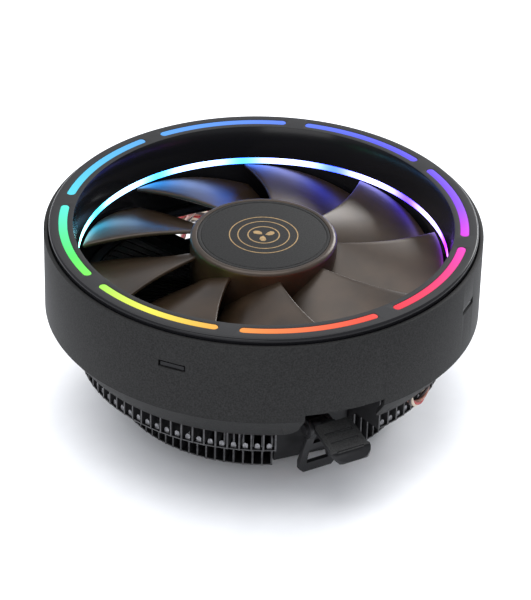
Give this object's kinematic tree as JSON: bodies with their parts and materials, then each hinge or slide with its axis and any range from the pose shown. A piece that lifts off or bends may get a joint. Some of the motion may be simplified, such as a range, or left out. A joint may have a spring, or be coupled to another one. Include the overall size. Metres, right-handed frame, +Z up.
{
  "type": "processor cooler",
  "caption": "Low-profile round processor cooler: lit fan in a round shroud over radial fins, with a spring clip, a thumb lever and a fan lead with its plug.",
  "frame": {"origin": "centre of the flat contact face under the core, where it meets the processor", "axes": "+Z up along the fan's axis, thumb lever towards -Y, +X to the right when facing the lever"},
  "size_m": [0.125, 0.166, 0.06],
  "materials": {
    "copper": "machined",
    "steel": "zinc plated",
    "black_steel": "black oxide",
    "aluminium": "extruded",
    "fins": "black coated, worn bright at the edges",
    "shroud_plastic": "fine spark texture",
    "frame_plastic": "moulded",
    "bezel_plastic": "matte top, glossy rim",
    "ring_light": "frosted, lit",
    "inner_light": "frosted, lit",
    "circuit_board": "solder mask",
    "led_white": "clear lens",
    "brass": "turned",
    "white_plastic": "moulded",
    "lamination": "stacked sheet",
    "copper_wire": "enamelled",
    "black_rubber": "moulded",
    "lead_red": "insulated wire",
    "plug_plastic": "moulded",
    "smoked_plastic": "smoked translucent",
    "label_plastic": "fine grain",
    "tab_plastic": "moulded, grooved"
  },
  "bodies": {
    "frame": {"contact_plate": "copper", "base_screws": "steel", "clip_saddle": "black_steel", "heat_core": "aluminium", "fin_stack_left": "fins", "fin_stack_right": "fins", "bracket_ring": "black_steel", "clip_bar": "black_steel", "clip_pin": "steel", "shroud": "shroud_plastic", "fan_frame": "frame_plastic", "frame_screws": "steel", "bezel_ring": "bezel_plastic", "light_guide": "ring_light", "inner_light_ring": "inner_light", "led_board": "circuit_board", "leds": "led_white", "bearing_sleeve": "brass", "thrust_pad": "white_plastic", "motor_pcb": "circuit_board", "driver_chip": "frame_plastic", "stator_core": "lamination", "stator_windings": "copper_wire", "motor_leads": "lead_red", "lead_grommet": "black_rubber", "fan_lead": "lead_red", "lead_coil": "lead_red", "lead_tail": "lead_red", "fan_plug": "plug_plastic", "plug_contacts": "brass"},
    "rotor": {"impeller": "smoked_plastic", "hub_label": "label_plastic", "rotor_yoke": "lamination", "magnet_ring": "black_rubber", "rotor_shaft": "steel", "lock_washer": "white_plastic"},
    "lever": {"hook_plate": "black_steel", "thumb_tab": "tab_plastic"}
  },
  "joints": [
    {"name": "fan_spin", "type": "hinge", "parent": "frame", "child": "rotor", "pos_m": [0, 0, 0.048], "axis": [0, 0, 1], "continuous": true},
    {"name": "lever_swing", "type": "hinge", "parent": "frame", "child": "lever", "pos_m": [-0.0006, -0.0445, 0.0185], "axis": [0.9925, 0.1219, 0], "range_deg": [-26, 0]}
  ]
}
